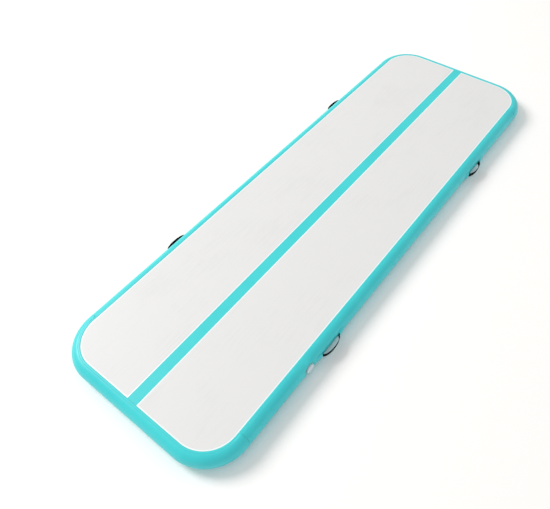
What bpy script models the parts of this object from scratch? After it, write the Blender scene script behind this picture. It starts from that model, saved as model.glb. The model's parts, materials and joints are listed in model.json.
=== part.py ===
"""Air track mat: an inflated drop-stitch gymnastics mat with four webbing handles and one air valve.

Metres, +Z up. The origin is on the floor under the middle of the mat, +Y runs along the mat's length
towards its far end, and +X is the mat's right side, which carries the valve.
"""

import math

import bmesh
import bpy

# Driving dimensions of the inflated mat.
LENGTH = 3.05
WIDTH = 1.00
HEIGHT = 0.10
FLAT_CORNER = 0.165       # plan radius of the flat top's corners
STRIPE_WIDTH = 0.055
TAPE_WIDTH = 0.008        # the weld tape that shows between the top cover and the wall

# Sheet thicknesses, from the outside in, and the space left between neighbours.
COVER = 0.0006
CLOTH = 0.0007
WALL = 0.0007
GAP = 0.0003

# The flat part of the mat ends where its wall starts to bulge, a half circle seen from the end.
MIDDLE = HEIGHT / 2
BULGE = HEIGHT / 2
FLAT_X = WIDTH / 2 - BULGE
FLAT_Y = LENGTH / 2 - BULGE
SIDE_RUN = 2 * (FLAT_Y - FLAT_CORNER)
END_RUN = 2 * (FLAT_X - FLAT_CORNER)
INNER_WALL_RADIUS = BULGE - WALL - GAP
WALL_STEPS = 14
CORNER_STEPS = 6

# Carrying handles: webbing bent to half an ellipse, its ends held to the wall under patches. They
# leave the wall just below its middle, square to it. Lengths along the wall count from the loop's middle,
# and angles are turned round the middle of the wall's bulge.
HANDLE_Y = 0.725
HANDLE_TILT = math.radians(5)
HANDLE_HALF_SPAN = 0.0620
HANDLE_REACH = 0.020
WEBBING_WIDTH = 0.025
WEBBING = 0.0022
LOOP_START = 0.0078       # how far out of the joint's line the loop starts, to turn clear of the wall
END_LAP = 0.002           # the held ends stand this far past the loop's ends,
BEND_END = 0.0595         # beside them and not over them, so that the loop turns past them
BEND_RADIUS = 0.0060
TAB_END = 0.0905
PATCH = 0.0008
PATCH_START = 0.0675
PATCH_END = 0.1005
PATCH_ANGLES = (0, 8, 16, 20, 23.5, 27)
PATCH_RAISED_ANGLE = 16   # the patch clears the webbing's edge inside this angle,
PATCH_DOWN_ANGLE = 20     # and lies on the wall outside this one
PATCH_CLEARANCE = 0.0015  # past the webbing's end it stays raised for this far,
PATCH_FALL = 0.004        # and comes down to the wall over this much more

# The valve stands on a flat place that its patch makes in the right wall. Heights along the valve's
# axis are counted outwards from that flat place.
VALVE_Y = -0.877
VALVE_FACE_X = WIDTH / 2 - 0.010
SEAT_RADIUS = 0.027       # the patch is flat inside this radius
PATCH_RADIUS = 0.044      # and back on the wall's own curve at this one
PATCH_HOLE = 0.016
BARREL_RADIUS = 0.0155
BORE_RADIUS = 0.0135
NECK_RADIUS = 0.0185
FLANGE_RADIUS = 0.0245
GASKET_TOP = 0.0013
FLANGE_TOP = 0.0030
NECK_TOP = 0.0066
WEB_TOP = -0.0200
WEB_BOTTOM = -0.0225
BARREL_BOTTOM = -0.0280
STEM_RADIUS = 0.0028
BUTTON_RADIUS = 0.0075
BUTTON_TOP = 0.0005
BUTTON_BOTTOM = -0.0040
RING_BOTTOM = FLANGE_TOP + GAP
RING_TOP = RING_BOTTOM + 0.0009
CAP_BOTTOM = RING_TOP + GAP
CAP_INSIDE = NECK_TOP + 0.0017
CAP_TOP = CAP_INSIDE + 0.0014
CAP_RADIUS = 0.0225
CAP_GROOVE_RADIUS = 0.0213
CAP_GROOVE_BOTTOM = 0.0055
CAP_GROOVE_TOP = 0.0072
TETHER_TAB_RADIUS = 0.0275
TETHER_WIDTH = 0.008
ROUND_STEPS = 24


def clear_scene():
    for old in list(bpy.data.objects):
        bpy.data.objects.remove(old, do_unlink=True)


def new_collection(name):
    collection = bpy.data.collections.new(name)
    bpy.context.scene.collection.children.link(collection)
    return collection


def new_material(name, color, roughness, metallic=0.0):
    material = bpy.data.materials.new(name)
    material.use_nodes = True
    shader = material.node_tree.nodes["Principled BSDF"]
    shader.inputs["Base Color"].default_value = (*color, 1.0)
    shader.inputs["Roughness"].default_value = roughness
    shader.inputs["Metallic"].default_value = metallic
    return material


clear_scene()
PARTS = new_collection("air_track_mat")
CUTTERS = new_collection("cutters")

GREY_PVC = new_material("grey_pvc", (0.80, 0.80, 0.81), 0.55)
TURQUOISE_PVC = new_material("turquoise_pvc", (0.10, 0.72, 0.70), 0.45)
BASE_PVC = new_material("base_pvc", (0.35, 0.37, 0.38), 0.70)
DROP_STITCH = new_material("drop_stitch", (0.85, 0.85, 0.82), 0.90)
BLACK_WEBBING = new_material("black_webbing", (0.012, 0.012, 0.013), 0.85)
WHITE_PLASTIC = new_material("white_plastic", (0.80, 0.83, 0.86), 0.35)
GREY_PLASTIC = new_material("grey_plastic", (0.35, 0.36, 0.38), 0.45)
BLACK_RUBBER = new_material("black_rubber", (0.02, 0.02, 0.02), 0.75)
SPRING_STEEL = new_material("spring_steel", (0.55, 0.56, 0.58), 0.30, 1.0)


# Shared modelling steps ------------------------------------------------------------------------


def add_object(name, data, material, collection=PARTS):
    piece = bpy.data.objects.new(name, data)
    if material:
        data.materials.append(material)
    collection.objects.link(piece)
    return piece


def mesh_from(name, bm):
    mesh = bpy.data.meshes.new(name)
    bm.to_mesh(mesh)
    bm.free()
    return mesh


def solidify(piece, thickness):
    shell = piece.modifiers.new("thickness", "SOLIDIFY")
    shell.thickness = thickness
    shell.offset = -1
    shell.use_even_offset = True


def cut(piece, cutter, operation="DIFFERENCE"):
    boolean = piece.modifiers.new(operation.lower(), "BOOLEAN")
    boolean.operation = operation
    boolean.solver = "EXACT"
    boolean.object = cutter
    cutter.hide_render = True
    cutter.display_type = "WIRE"


def arc(radius, first_deg, last_deg, steps):
    """Points of an arc round the origin, both ends included."""
    turns = [math.radians(first_deg + (last_deg - first_deg) * i / steps) for i in range(steps + 1)]
    return [(radius * math.cos(t), radius * math.sin(t)) for t in turns]


def sweep(profile, start, heading_deg, moves, closed=False):
    """Carries a profile round the edge of the flat top, counter-clockwise seen from above.

    The profile's points are (distance out of the flat top's edge, height over the mat's middle).
    A move is a length to run straight, or None for one corner.
    """
    heading = math.radians(heading_deg)
    x, y = start
    out_x, out_y = math.sin(heading), -math.cos(heading)
    bm = bmesh.new()
    verts = [bm.verts.new((x + out_x * out, y + out_y * out, MIDDLE + up)) for out, up in profile]
    edges = [bm.edges.new(pair) for pair in zip(verts, verts[1:])]
    for move in moves:
        if move is None:
            centre = (x + math.sin(heading) * -FLAT_CORNER, y + math.cos(heading) * FLAT_CORNER, MIDDLE)
            turned_corner = bmesh.ops.spin(
                bm, geom=verts + edges, cent=centre, axis=(0, 0, 1),
                angle=math.pi / 2, steps=CORNER_STEPS,
            )
            verts = [item for item in turned_corner["geom_last"] if isinstance(item, bmesh.types.BMVert)]
            edges = [item for item in turned_corner["geom_last"] if isinstance(item, bmesh.types.BMEdge)]
            heading += math.pi / 2
            x = centre[0] + math.sin(heading) * FLAT_CORNER
            y = centre[1] - math.cos(heading) * FLAT_CORNER
        else:
            step_x, step_y = math.cos(heading) * move, math.sin(heading) * move
            run = bmesh.ops.extrude_edge_only(bm, edges=edges)["geom"]
            verts = [item for item in run if isinstance(item, bmesh.types.BMVert)]
            ahead = set(verts)
            edges = [
                item for item in run
                if isinstance(item, bmesh.types.BMEdge) and ahead.issuperset(item.verts)
            ]
            bmesh.ops.translate(bm, verts=verts, vec=(step_x, step_y, 0))
            x += step_x
            y += step_y
    if closed:
        bmesh.ops.remove_doubles(bm, verts=bm.verts, dist=0.00001)
    face_outwards(bm)
    return bm


def face_outwards(bm):
    """Turns an open surface's faces away from the middle of the mat."""
    bmesh.ops.recalc_face_normals(bm, faces=bm.faces)
    outward = 0.0
    for face in bm.faces:
        centre = face.calc_center_median()
        centre.z -= MIDDLE
        outward += face.normal.dot(centre) * face.calc_area()
    if outward < 0:
        bmesh.ops.reverse_faces(bm, faces=bm.faces)


def whole_edge():
    """The moves that go once round the flat top, from the near end of its right side."""
    return [SIDE_RUN, None, END_RUN, None, SIDE_RUN, None, END_RUN, None]


def outline(name, loops, half_thickness, material, location):
    """A flat piece from closed outlines: the first is its edge, and any others are holes."""
    curve = bpy.data.curves.new(name, "CURVE")
    curve.dimensions = "2D"
    curve.fill_mode = "BOTH"
    curve.extrude = half_thickness
    for points in loops:
        spline = curve.splines.new("POLY")
        spline.points.add(len(points) - 1)
        for point, (x, y) in zip(spline.points, points):
            point.co = (x, y, 0, 1)
        spline.use_cyclic_u = True
    piece = add_object(name, curve, material)
    piece.location = location
    return piece


def rounded_points(half_x, half_y, radius):
    """A rounded rectangle, counter-clockwise from its right side."""
    points = []
    for quarter, (sign_x, sign_y) in enumerate(((1, 1), (-1, 1), (-1, -1), (1, -1))):
        centre_x, centre_y = sign_x * (half_x - radius), sign_y * (half_y - radius)
        for x, y in arc(radius, 90 * quarter, 90 * quarter + 90, CORNER_STEPS):
            points.append((centre_x + x, centre_y + y))
    return points


def turned(name, profile, material, parent, closed=True):
    """A piece turned round its parent's Z axis from (radius, height) points, down its outer side."""
    mesh = bpy.data.meshes.new(name)
    count = len(profile)
    edges = [(i, i + 1) for i in range(count - 1)]
    if closed:
        edges.append((count - 1, 0))
    mesh.from_pydata([(radius, 0, height) for radius, height in profile], edges, [])
    piece = add_object(name, mesh, material)
    piece.parent = parent
    screw = piece.modifiers.new("turn", "SCREW")
    screw.axis = "Z"
    screw.steps = ROUND_STEPS
    screw.render_steps = ROUND_STEPS
    screw.use_merge_vertices = True
    screw.merge_threshold = 0.00001
    screw.use_smooth_shade = True
    return piece


def washer(inner, outer, bottom, top):
    return [(outer, top), (outer, bottom), (inner, bottom), (inner, top)]


def cylinder_cutter(name, radius, bottom, top, parent, offset=(0, 0), sides=ROUND_STEPS):
    bm = bmesh.new()
    bmesh.ops.create_cone(
        bm, cap_ends=True, segments=sides, radius1=radius, radius2=radius, depth=top - bottom
    )
    bmesh.ops.translate(bm, verts=bm.verts, vec=(offset[0], offset[1], (top + bottom) / 2))
    cutter = add_object(name, mesh_from(name, bm), None, CUTTERS)
    cutter.parent = parent
    cutter.hide_render = True
    cutter.display_type = "WIRE"
    return cutter


def box_cutter(name, size, centre, parent):
    bm = bmesh.new()
    bmesh.ops.create_cube(bm, size=1)
    bmesh.ops.scale(bm, verts=bm.verts, vec=size)
    bmesh.ops.translate(bm, verts=bm.verts, vec=centre)
    cutter = add_object(name, mesh_from(name, bm), None, CUTTERS)
    cutter.parent = parent
    cutter.hide_render = True
    cutter.display_type = "WIRE"
    return cutter


def new_empty(name, location, rotation=(0, 0, 0), parent=None):
    empty = bpy.data.objects.new(name, None)
    empty.location = location
    empty.rotation_euler = rotation
    empty.parent = parent
    PARTS.objects.link(empty)
    return empty


# The valve's axis points out of the right wall: its empty's Z is the world's +X.
VALVE = new_empty("valve_axis", (VALVE_FACE_X, VALVE_Y, MIDDLE), (0, math.pi / 2, 0))


# Top and bottom: the drop-stitch core, its two cloths, and the covers outside them --------------


def make_core():
    """The field of pile threads between the two cloths. Round it, the walls hold nothing but air."""
    edge = 2 * GAP
    points = rounded_points(FLAT_X - edge, FLAT_Y - edge, FLAT_CORNER - edge)
    half_height = MIDDLE - COVER - CLOTH - 2 * GAP
    outline("drop_stitch_core", [points], half_height, DROP_STITCH, (0, 0, MIDDLE))


def make_cloths():
    """The two coated cloths that the pile threads hold parallel."""
    points = rounded_points(FLAT_X - GAP, FLAT_Y - GAP, FLAT_CORNER - GAP)
    depth = COVER + GAP + CLOTH / 2
    outline("top_cloth", [points], CLOTH / 2, DROP_STITCH, (0, 0, HEIGHT - depth))
    outline("bottom_cloth", [points], CLOTH / 2, DROP_STITCH, (0, 0, depth))


def make_covers():
    """Grey panels each side of the centre stripe on top, and one sheet underneath."""
    edge = TAPE_WIDTH / 2 + GAP
    far_x, far_y, radius = FLAT_X - edge, FLAT_Y - edge, FLAT_CORNER - edge
    near_x = STRIPE_WIDTH / 2 + GAP
    corners = [(near_x, -far_y)]
    for sign in (-1, 1):
        for x, y in arc(radius, 45 * sign - 45, 45 * sign + 45, CORNER_STEPS):
            corners.append((far_x - radius + x, sign * (far_y - radius) + y))
    corners.append((near_x, far_y))
    top = HEIGHT - COVER / 2
    outline("right_top_panel", [corners], COVER / 2, GREY_PVC, (0, 0, top))
    mirrored = [(-x, y) for x, y in reversed(corners)]
    outline("left_top_panel", [mirrored], COVER / 2, GREY_PVC, (0, 0, top))
    half = STRIPE_WIDTH / 2
    stripe = [(-half, -far_y), (half, -far_y), (half, far_y), (-half, far_y)]
    outline("centre_stripe", [stripe], COVER / 2, TURQUOISE_PVC, (0, 0, top))
    whole = rounded_points(far_x, far_y, radius)
    outline("bottom_cover", [whole], COVER / 2, BASE_PVC, (0, 0, COVER / 2))


# Side walls: an airtight inner layer in two halves and an outer layer in four lengths, so that the
# joins of one layer never lie over the joins of the other ---------------------------------------


def tape_angle():
    return math.degrees(TAPE_WIDTH / 2 / BULGE)


def valve_hole(piece):
    cutter = cylinder_cutter(piece.name + "_hole", PATCH_RADIUS + GAP, -0.04, 0.02, VALVE, sides=32)
    cut(piece, cutter)


def make_outer_walls():
    top = 90 - tape_angle() - math.degrees(GAP / BULGE)
    profile = arc(BULGE, top, -top, WALL_STEPS)
    side = [SIDE_RUN - 2 * GAP]
    side_start = SIDE_RUN / 2 - GAP
    end_moves = [None, END_RUN, None]
    lengths = (
        ("right_side_wall", (FLAT_X, -side_start), 90, side),
        ("far_end_wall", (FLAT_X, SIDE_RUN / 2), 90, end_moves),
        ("left_side_wall", (-FLAT_X, side_start), 270, side),
        ("near_end_wall", (-FLAT_X, -SIDE_RUN / 2), 270, end_moves),
    )
    for name, start, heading, moves in lengths:
        wall = add_object(name, mesh_from(name, sweep(profile, start, heading, moves)), TURQUOISE_PVC)
        solidify(wall, WALL)
        if name == "right_side_wall":
            valve_hole(wall)


def make_inner_walls():
    profile = arc(INNER_WALL_RADIUS, 90, -90, WALL_STEPS)
    half_end = END_RUN / 2 - GAP
    moves = [half_end, None, SIDE_RUN, None, half_end]
    for name, sign, heading in (("right_inner_wall", 1, 0), ("left_inner_wall", -1, 180)):
        bm = sweep(profile, (sign * GAP, -sign * FLAT_Y), heading, moves)
        wall = add_object(name, mesh_from(name, bm), DROP_STITCH)
        solidify(wall, WALL)
        if sign > 0:
            valve_hole(wall)


def make_seam_tapes():
    """Tape welded over the line where the top and the bottom meet the wall."""
    rim = arc(BULGE, 90, 90 - tape_angle(), 2)
    top_profile = [(-TAPE_WIDTH / 2, BULGE)] + rim
    bottom_profile = [(out, -up) for out, up in top_profile]
    for name, profile in (("top_seam_tape", top_profile), ("bottom_seam_tape", bottom_profile)):
        bm = sweep(profile, (FLAT_X, -SIDE_RUN / 2), 90, whole_edge(), closed=True)
        tape = add_object(name, mesh_from(name, bm), TURQUOISE_PVC)
        solidify(tape, COVER)


# Carrying handles: one loop, its two held ends and the two patches over them, at four places ------


def strip_outline(centres, thickness):
    """The outline of a strip of webbing seen edge on, from the points along its middle."""
    left, right = [], []
    for i, (x, y) in enumerate(centres):
        before, after = centres[max(i - 1, 0)], centres[min(i + 1, len(centres) - 1)]
        along_x, along_y = after[0] - before[0], after[1] - before[1]
        size = math.hypot(along_x, along_y)
        across_x, across_y = -along_y / size * thickness / 2, along_x / size * thickness / 2
        left.append((x + across_x, y + across_y))
        right.append((x - across_x, y - across_y))
    return left + right[::-1]


def loop_centres():
    """Half an ellipse from one held end to the other, without the stretch nearest the wall."""
    first = math.asin(LOOP_START / HANDLE_REACH)
    steps = 18
    turns = [first + (math.pi - 2 * first) * i / steps for i in range(steps + 1)]
    return [(HANDLE_REACH * math.sin(t), -HANDLE_HALF_SPAN * math.cos(t)) for t in turns]


def make_held_end(name, empty, sign):
    """Webbing that lies round the wall and then bends straight out of it beside the loop's end."""
    centre_y = BEND_END + BEND_RADIUS
    bend = [(BEND_RADIUS + x, centre_y + y) for x, y in arc(BEND_RADIUS, 180, 270, 4)]
    centres = [(0, TAB_END)] + bend + [(LOOP_START + END_LAP, BEND_END)]
    points = [(out, sign * along) for out, along in strip_outline(centres, WEBBING)]
    half, rows = WEBBING_WIDTH / 2, 4
    bm = bmesh.new()
    verts = [bm.verts.new((x, y, -half)) for x, y in points]
    face = bm.faces.new(verts)
    for _ in range(rows):
        run = bmesh.ops.extrude_face_region(bm, geom=[face])["geom"]
        moved = [item for item in run if isinstance(item, bmesh.types.BMVert)]
        last, face = face, next(item for item in run if isinstance(item, bmesh.types.BMFace))
        bmesh.ops.translate(bm, verts=moved, vec=(0, 0, WEBBING_WIDTH / rows))
        if last.verts[0].co.z > -half:
            bm.faces.remove(last)
    radius = BULGE + GAP + WEBBING / 2
    for vert in bm.verts:
        flat_share = 1 - min(max(vert.co.x / LOOP_START, 0), 1)
        vert.co.x -= flat_share * (radius - math.sqrt(radius ** 2 - vert.co.z ** 2))
    bmesh.ops.recalc_face_normals(bm, faces=bm.faces)
    end = add_object(name, mesh_from(name, bm), BLACK_WEBBING)
    end.parent = empty


def patch_radius(angle, along):
    """How far a patch's outside is from the middle of the bulge: raised over the webbing's end."""
    beside = min(max((PATCH_DOWN_ANGLE - abs(angle)) / (PATCH_DOWN_ANGLE - PATCH_RAISED_ANGLE), 0), 1)
    past = min(max((TAB_END + PATCH_CLEARANCE + PATCH_FALL - along) / PATCH_FALL, 0), 1)
    return BULGE + GAP + PATCH + (WEBBING + GAP) * min(beside, past)


def make_handle_patch(name, empty, sign):
    angles = [-angle for angle in reversed(PATCH_ANGLES[1:])] + list(PATCH_ANGLES)
    raised_end = TAB_END + PATCH_CLEARANCE
    middle = (PATCH_START + raised_end) / 2
    places = (PATCH_START, middle, raised_end, raised_end + PATCH_FALL, PATCH_END)
    axis_radius = BULGE + GAP + WEBBING / 2
    bm = bmesh.new()
    rows = []
    for along in places:
        row = []
        for angle in angles:
            radius, turn = patch_radius(angle, along), math.radians(angle)
            row.append(bm.verts.new((
                radius * math.cos(turn) - axis_radius, sign * along, radius * math.sin(turn),
            )))
        rows.append(row)
    for row, following in zip(rows, rows[1:]):
        for i in range(len(row) - 1):
            bm.faces.new((row[i], row[i + 1], following[i + 1], following[i]))
    for face in bm.faces:
        face.normal_update()
        if face.normal.x < 0:
            face.normal_flip()
    patch = add_object(name, mesh_from(name, bm), TURQUOISE_PVC)
    patch.parent = empty
    solidify(patch, PATCH)


def make_handle(place, side, y):
    """side is 1 on the right wall and -1 on the left, where the whole handle is turned half round."""
    axis_radius = BULGE + GAP + WEBBING / 2
    axis_x = FLAT_X + axis_radius * math.cos(HANDLE_TILT)
    axis_z = MIDDLE - axis_radius * math.sin(HANDLE_TILT)
    turn = 0 if side > 0 else math.pi
    empty = new_empty(place + "_handle_axis", (side * axis_x, y, axis_z), (0, HANDLE_TILT, turn))
    for sign in (-1, 1):
        end_name = place + "_handle_" + ("far" if sign * side > 0 else "near")
        make_held_end(end_name + "_end", empty, sign)
        make_handle_patch(end_name + "_patch", empty, sign)
    points = strip_outline(loop_centres(), WEBBING)
    loop = outline(place + "_handle", [points], WEBBING_WIDTH / 2, BLACK_WEBBING, (0, 0, 0))
    loop.parent = empty


# Valve ------------------------------------------------------------------------------------------


def patch_height(radius, up):
    """How far the valve's patch stands over its flat place, up the wall from the valve's axis."""
    wall_height = FLAT_X + math.sqrt(BULGE ** 2 - up ** 2) - VALVE_FACE_X
    share = min(max((radius - SEAT_RADIUS) / (PATCH_RADIUS - SEAT_RADIUS), 0), 1)
    return share * share * (3 - 2 * share) * wall_height


def make_valve_patch(name, depth):
    """A round patch, flat under the valve and curved back to the wall at its rim."""
    radii = [PATCH_HOLE, SEAT_RADIUS]
    radii += [SEAT_RADIUS + (PATCH_RADIUS - SEAT_RADIUS) * i / 3 for i in (1, 2, 3)]
    section = [(radius, -depth) for radius in radii]
    section += [(radius, -depth - WALL) for radius in reversed(radii)]
    bm = bmesh.new()
    verts = [bm.verts.new((radius, 0, level)) for radius, level in section]
    edges = [bm.edges.new(pair) for pair in zip(verts, verts[1:] + verts[:1])]
    bmesh.ops.spin(
        bm, geom=verts + edges, cent=(0, 0, 0), axis=(0, 0, 1), angle=2 * math.pi, steps=32
    )
    bmesh.ops.remove_doubles(bm, verts=bm.verts, dist=0.00001)
    for vert in bm.verts:
        vert.co.z += patch_height(math.hypot(vert.co.x, vert.co.y), vert.co.x)
    bmesh.ops.triangulate(bm, faces=bm.faces, quad_method="SHORT_EDGE")
    bmesh.ops.recalc_face_normals(bm, faces=bm.faces)
    patch = add_object(name, mesh_from(name, bm), TURQUOISE_PVC)
    patch.parent = VALVE


def make_valve_body():
    """Flange, threaded neck and barrel in one moulding, with a web that guides the plunger's stem."""
    profile = [
        (NECK_RADIUS, NECK_TOP), (NECK_RADIUS, FLANGE_TOP), (FLANGE_RADIUS - 0.001, FLANGE_TOP),
        (FLANGE_RADIUS, FLANGE_TOP - 0.001), (FLANGE_RADIUS, GASKET_TOP + GAP),
        (BARREL_RADIUS, GASKET_TOP + GAP), (BARREL_RADIUS, BARREL_BOTTOM),
        (BORE_RADIUS, BARREL_BOTTOM), (BORE_RADIUS, WEB_BOTTOM),
        (STEM_RADIUS + GAP, WEB_BOTTOM), (STEM_RADIUS + GAP, WEB_TOP),
        (BORE_RADIUS, WEB_TOP), (BORE_RADIUS, NECK_TOP),
    ]
    body = turned("valve_body", profile, WHITE_PLASTIC, VALVE)
    for i in range(4):
        turn = math.radians(45 + 90 * i)
        spot = (0.0098 * math.cos(turn), 0.0098 * math.sin(turn))
        window = cylinder_cutter(
            "air_window_%d" % i, 0.0035, WEB_BOTTOM - 0.001, WEB_TOP + 0.001, VALVE, spot, 12
        )
        cut(body, window)


def make_valve_clamp():
    """The gasket outside the wall and the threaded nut inside it hold the body in its hole."""
    turned("valve_gasket", washer(0.0165, 0.0238, GAP, GASKET_TOP), BLACK_RUBBER, VALVE)
    inner, collar, rim = BARREL_RADIUS + GAP, 0.0195, 0.0245
    top, step, bottom = -0.0020, -0.0045, -0.0160
    profile = [(rim, top), (rim, step), (collar, step), (collar, bottom), (inner, bottom), (inner, top)]
    turned("valve_nut", profile, GREY_PLASTIC, VALVE)


def make_plunger():
    """Push button and stem, the sealing disc that it pulls against the barrel, and its spring."""
    head_top, head_bottom = BARREL_BOTTOM - 0.0044, BARREL_BOTTOM - 0.0060
    profile = [
        (0, BUTTON_TOP), (BUTTON_RADIUS - 0.0008, BUTTON_TOP), (BUTTON_RADIUS, BUTTON_TOP - 0.0008),
        (BUTTON_RADIUS, BUTTON_BOTTOM), (STEM_RADIUS, BUTTON_BOTTOM), (STEM_RADIUS, head_top),
        (0.0045, head_top), (0.0045, head_bottom), (0, head_bottom),
    ]
    button = turned("push_button", profile, GREY_PLASTIC, VALVE, closed=False)
    slot = box_cutter("button_slot", (0.011, 0.0024, 0.003), (0, 0, BUTTON_TOP + 0.0004), VALVE)
    cut(button, slot)
    seal_top = BARREL_BOTTOM - GAP
    hole = STEM_RADIUS + GAP
    turned("seal_disc", washer(hole, 0.0148, seal_top - 0.0015, seal_top), BLACK_RUBBER, VALVE)
    plate_top = seal_top - 0.0015 - GAP
    turned("seal_plate", washer(hole, 0.012, plate_top - 0.0020, plate_top), GREY_PLASTIC, VALVE)


def make_spring():
    wire, coil, turns, per_turn = 0.0005, 0.005, 5, 10
    bottom, top = WEB_TOP + GAP + wire, BUTTON_BOTTOM - GAP - wire
    curve = bpy.data.curves.new("valve_spring", "CURVE")
    curve.dimensions = "3D"
    curve.bevel_depth = wire
    curve.bevel_resolution = 0
    curve.use_fill_caps = True
    spline = curve.splines.new("POLY")
    count = turns * per_turn + 1
    spline.points.add(count - 1)
    for i, point in enumerate(spline.points):
        turn = 2 * math.pi * i / per_turn
        height = bottom + (top - bottom) * i / (count - 1)
        point.co = (coil * math.cos(turn), coil * math.sin(turn), height, 1)
    spring = add_object("valve_spring", curve, SPRING_STEEL)
    spring.parent = VALVE


def circle_points(radius, first_deg=0, last_deg=360, steps=ROUND_STEPS):
    points = arc(radius, first_deg, last_deg, steps)
    return points[:-1] if last_deg - first_deg == 360 else points


def ring_with_tab(inner, outer, tab_end):
    """A flat ring with a tab that points to the local -Y, as an edge and a hole."""
    half = TETHER_WIDTH / 2
    side = math.degrees(math.asin(half / outer))
    edge = circle_points(outer, -90 + side, 270 - side)
    edge += [(-half, -tab_end), (half, -tab_end)]
    return [edge, circle_points(inner)]


def make_tether():
    """A ring that turns on the neck, and a strap that hinges on it and holds the cap in its groove."""
    ring = outline(
        "tether_ring", ring_with_tab(NECK_RADIUS + GAP, 0.0230, TETHER_TAB_RADIUS),
        (RING_TOP - RING_BOTTOM) / 2, WHITE_PLASTIC, (0, 0, (RING_TOP + RING_BOTTOM) / 2),
    )
    ring.parent = VALVE
    hinge = new_empty("tether_hinge", (0, -TETHER_TAB_RADIUS, RING_TOP), parent=VALVE)
    half = 0.0006
    level = (CAP_GROOVE_BOTTOM + CAP_GROOVE_TOP) / 2
    foot_x, foot_width = TETHER_TAB_RADIUS - 0.0001, 0.0012
    strap = outline(
        "tether_strap", ring_with_tab(CAP_GROOVE_RADIUS + GAP, 0.0242, foot_x), half,
        WHITE_PLASTIC, (0, TETHER_TAB_RADIUS, level - RING_TOP),
    )
    strap.parent = hinge
    bpy.context.view_layer.update()
    flat = bpy.data.meshes.new_from_object(strap.evaluated_get(bpy.context.evaluated_depsgraph_get()))
    bm = bmesh.new()
    bm.from_mesh(flat)
    bmesh.ops.remove_doubles(bm, verts=bm.verts, dist=0.000001)
    bmesh.ops.translate(bm, verts=bm.verts, vec=strap.location)
    bm.to_mesh(flat)
    bm.free()
    bpy.data.objects.remove(strap)
    strap = add_object("tether_strap", flat, None)
    strap.parent = hinge
    bottom, top = CAP_BOTTOM - RING_TOP, level - RING_TOP
    foot = box_cutter(
        "tether_foot", (TETHER_WIDTH, foot_width, top - bottom),
        (0, TETHER_TAB_RADIUS - foot_x + foot_width / 2, (top + bottom) / 2), hinge,
    )
    cut(strap, foot, "UNION")


def make_cap():
    """The cap grips the neck from outside; its seal closes on the neck's rim."""
    inner = NECK_RADIUS + 0.0008
    profile = [
        (0, CAP_TOP), (CAP_RADIUS - 0.001, CAP_TOP), (CAP_RADIUS, CAP_TOP - 0.001),
        (CAP_RADIUS, CAP_GROOVE_TOP), (CAP_GROOVE_RADIUS, CAP_GROOVE_TOP),
        (CAP_GROOVE_RADIUS, CAP_GROOVE_BOTTOM), (CAP_RADIUS, CAP_GROOVE_BOTTOM),
        (CAP_RADIUS, CAP_BOTTOM), (inner, CAP_BOTTOM), (inner, CAP_INSIDE), (0, CAP_INSIDE),
    ]
    turned("valve_cap", profile, WHITE_PLASTIC, VALVE, closed=False)
    seal = washer(0.0140, 0.0182, NECK_TOP + GAP, CAP_INSIDE - GAP)
    turned("cap_seal", seal, BLACK_RUBBER, VALVE)


make_core()
make_cloths()
make_covers()
make_outer_walls()
make_inner_walls()
make_seam_tapes()
make_handle("near_right", 1, -HANDLE_Y)
make_handle("far_right", 1, HANDLE_Y)
make_handle("near_left", -1, -HANDLE_Y)
make_handle("far_left", -1, HANDLE_Y)
make_valve_patch("outer_valve_patch", 0)
make_valve_patch("inner_valve_patch", WALL + GAP)
make_valve_body()
make_valve_clamp()
make_plunger()
make_spring()
make_tether()
make_cap()
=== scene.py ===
import json
import math

import bmesh
import bpy
from mathutils import Matrix, Vector, noise
from mathutils.geometry import interpolate_bezier


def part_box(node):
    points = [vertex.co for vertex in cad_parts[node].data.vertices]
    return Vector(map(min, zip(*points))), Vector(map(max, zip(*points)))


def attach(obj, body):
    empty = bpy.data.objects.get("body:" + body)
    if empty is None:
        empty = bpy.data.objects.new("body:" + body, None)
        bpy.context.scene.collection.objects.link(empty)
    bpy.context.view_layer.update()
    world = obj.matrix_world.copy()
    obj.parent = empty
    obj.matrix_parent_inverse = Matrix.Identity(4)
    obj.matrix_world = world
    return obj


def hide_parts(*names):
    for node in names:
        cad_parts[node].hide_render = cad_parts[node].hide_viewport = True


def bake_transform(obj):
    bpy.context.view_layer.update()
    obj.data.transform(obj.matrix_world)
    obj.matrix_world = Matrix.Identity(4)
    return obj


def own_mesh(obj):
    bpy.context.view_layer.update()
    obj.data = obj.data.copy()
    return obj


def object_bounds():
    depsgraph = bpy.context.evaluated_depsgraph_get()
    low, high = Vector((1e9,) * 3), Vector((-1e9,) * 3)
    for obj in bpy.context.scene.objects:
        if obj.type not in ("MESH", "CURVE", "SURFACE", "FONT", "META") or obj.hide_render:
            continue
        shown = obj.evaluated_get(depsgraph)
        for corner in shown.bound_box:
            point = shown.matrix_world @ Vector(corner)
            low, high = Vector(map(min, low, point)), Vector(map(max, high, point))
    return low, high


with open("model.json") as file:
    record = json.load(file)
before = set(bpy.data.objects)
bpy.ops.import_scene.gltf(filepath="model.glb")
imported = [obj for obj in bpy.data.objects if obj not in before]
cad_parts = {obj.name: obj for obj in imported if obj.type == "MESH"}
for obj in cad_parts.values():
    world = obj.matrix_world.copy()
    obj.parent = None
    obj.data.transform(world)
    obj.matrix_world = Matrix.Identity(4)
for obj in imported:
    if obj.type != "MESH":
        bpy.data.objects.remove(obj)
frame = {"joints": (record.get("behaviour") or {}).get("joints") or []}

cad_low, cad_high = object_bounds()

# Camera, floor and light ------------------------------------------------------------------------
# The mat lies on a white studio floor and is seen from above its near right corner. A broad lamp
# far out on its left throws a soft shadow from the right side. White walls, a little warmer on the
# left, fill the rest.

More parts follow.
